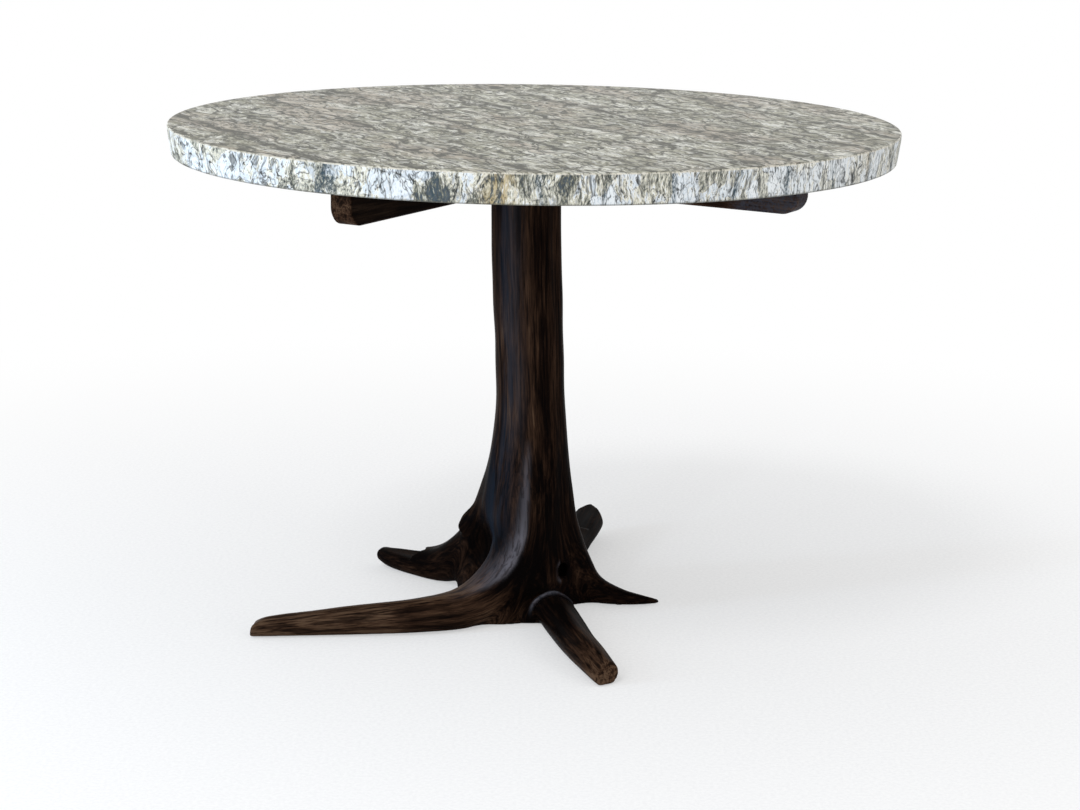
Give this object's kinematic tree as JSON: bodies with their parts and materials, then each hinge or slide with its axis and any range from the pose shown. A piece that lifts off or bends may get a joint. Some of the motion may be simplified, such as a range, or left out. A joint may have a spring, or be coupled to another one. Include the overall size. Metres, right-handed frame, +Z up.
{
  "type": "tree stump dining table",
  "caption": "Round granite table top on two crossed wooden arms, carried by a dark tree stump whose spreading roots are the feet.",
  "frame": {"origin": "on the floor under the middle of the round top", "axes": "+Z up, -Y towards the pictured side, +X to the right of that side"},
  "size_m": [1.1178, 1.118, 0.762],
  "materials": {
    "granite": "polished",
    "dark_wood": "oiled satin",
    "steel": "zinc plated",
    "soft_pad": "matte",
    "glide": "matte"
  },
  "bodies": {
    "root": {"granite_top": "granite", "stump": "dark_wood", "upper_arm": "dark_wood", "lower_arm": "dark_wood", "lag_screws": "steel", "lag_washers": "steel", "stone_bumper_1": "soft_pad", "stone_bumper_2": "soft_pad", "stone_bumper_3": "soft_pad", "stone_bumper_4": "soft_pad", "stone_bumper_5": "soft_pad", "stone_bumper_6": "soft_pad", "stone_bumper_7": "soft_pad", "stone_bumper_8": "soft_pad", "floor_pad_front_left": "glide", "floor_pad_back_left": "glide", "floor_pad_back_right": "glide", "floor_pad_right": "glide", "floor_pad_front": "glide"}
  },
  "joints": []
}
